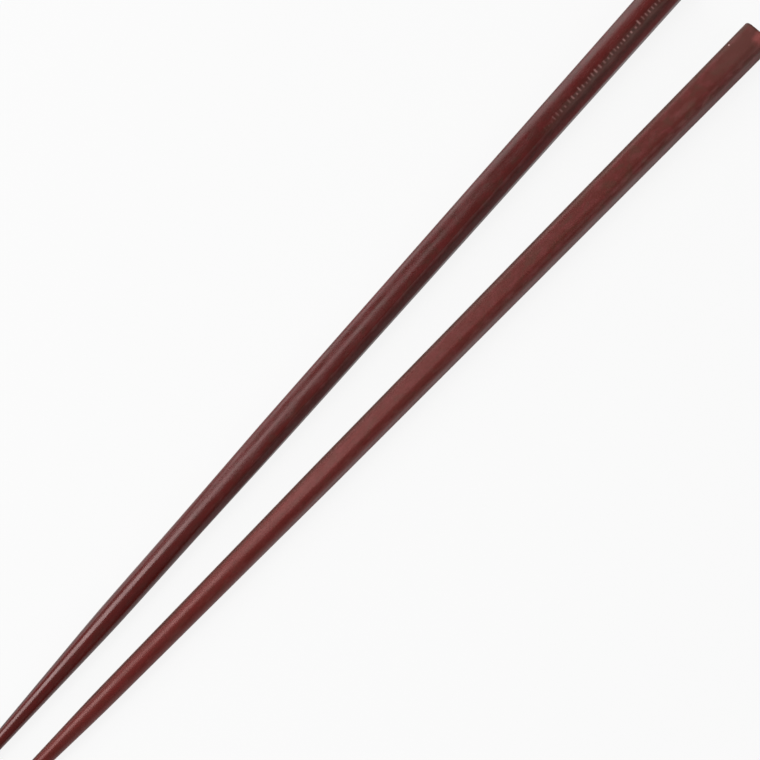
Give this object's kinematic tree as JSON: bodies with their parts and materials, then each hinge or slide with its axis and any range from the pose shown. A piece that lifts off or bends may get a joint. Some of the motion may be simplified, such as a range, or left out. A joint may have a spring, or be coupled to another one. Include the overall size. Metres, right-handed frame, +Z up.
{
  "type": "pair of chopsticks",
  "caption": "Pair of dark red-brown wooden chopsticks, with square rounded shafts that taper into round points, lying side by side with the tips converging.",
  "frame": {"origin": "on the table, under the centre of the pair's bounding box", "axes": "+X from the butts to the tips, +Y from the upper stick to the lower stick, +Z up from the table"},
  "size_m": [0.25, 0.0312, 0.0074],
  "materials": {
    "lacquered_hardwood": "satin"
  },
  "bodies": {
    "root": {"upper_chopstick": "lacquered_hardwood", "lower_chopstick": "lacquered_hardwood"}
  },
  "joints": []
}
